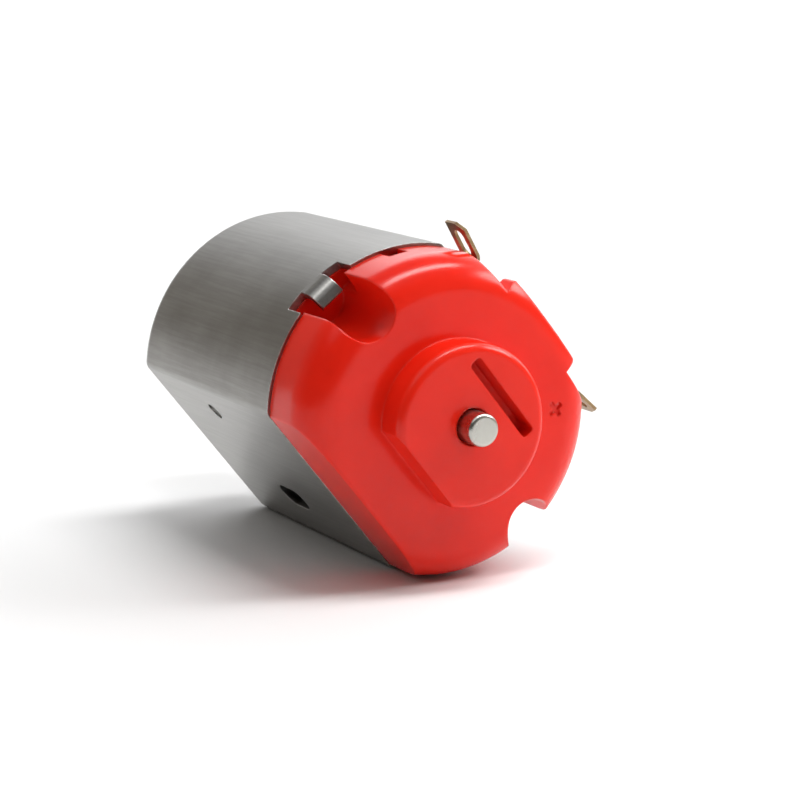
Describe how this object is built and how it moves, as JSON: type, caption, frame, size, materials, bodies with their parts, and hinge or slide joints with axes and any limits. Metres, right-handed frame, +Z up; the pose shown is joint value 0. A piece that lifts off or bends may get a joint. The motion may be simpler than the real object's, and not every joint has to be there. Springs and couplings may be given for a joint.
{
  "type": "small brushed dc motor",
  "caption": "Small brushed DC motor: flatted steel can, red moulded end cap with bent solder tags, wound rotor on a thin shaft that turns between arc magnets.",
  "frame": {"origin": "shaft axis at the can's front face, where the bearing nose starts", "axes": "+Y along the shaft towards its drive end, +Z up with the motor lying on its round side as in the picture, +X to the right seen from the end cap"},
  "size_m": [0.0215, 0.037, 0.0214],
  "materials": {
    "can_steel": "satin zinc-plated sheet steel",
    "red_plastic": "glossy, slightly translucent moulding",
    "terminal_brass": "dull, faintly tarnished",
    "brush_bronze": "rolled spring strip",
    "damper_rubber": "matt",
    "bush_bronze": "sintered, oiled",
    "ferrite": "matt sintered ferrite",
    "spring_steel": "drawn wire",
    "shaft_steel": "ground and polished",
    "core_steel": "stamped laminations",
    "insulator_fibre": "pressed fibre sheet",
    "winding_copper": "enamelled wire",
    "spacer_brass": "turned",
    "washer_fibre": "plain",
    "hub_plastic": "moulded",
    "commutator_copper": "worn bright under the brushes"
  },
  "bodies": {
    "stator": {"can": "can_steel", "front_bearing": "bush_bronze", "end_cap": "red_plastic", "magnet_left": "ferrite", "magnet_right": "ferrite", "magnet_spring": "spring_steel", "terminal_left": "terminal_brass", "terminal_right": "terminal_brass", "brush_left": "brush_bronze", "brush_right": "brush_bronze", "brush_damper_left": "damper_rubber", "brush_damper_right": "damper_rubber"},
    "rotor": {"shaft": "shaft_steel", "armature_core": "core_steel", "front_insulator": "insulator_fibre", "rear_insulator": "insulator_fibre", "coil_a": "winding_copper", "coil_b": "winding_copper", "coil_c": "winding_copper", "shaft_spacer": "spacer_brass", "front_washer": "washer_fibre", "rear_washer": "washer_fibre", "commutator_hub": "hub_plastic", "commutator_ring": "hub_plastic", "commutator_segment_a": "commutator_copper", "commutator_segment_b": "commutator_copper", "commutator_segment_c": "commutator_copper"}
  },
  "joints": [
    {"name": "rotor_spin", "type": "hinge", "parent": "stator", "child": "rotor", "pos_m": [0, 0, 0], "axis": [0, 1, 0], "continuous": true}
  ]
}
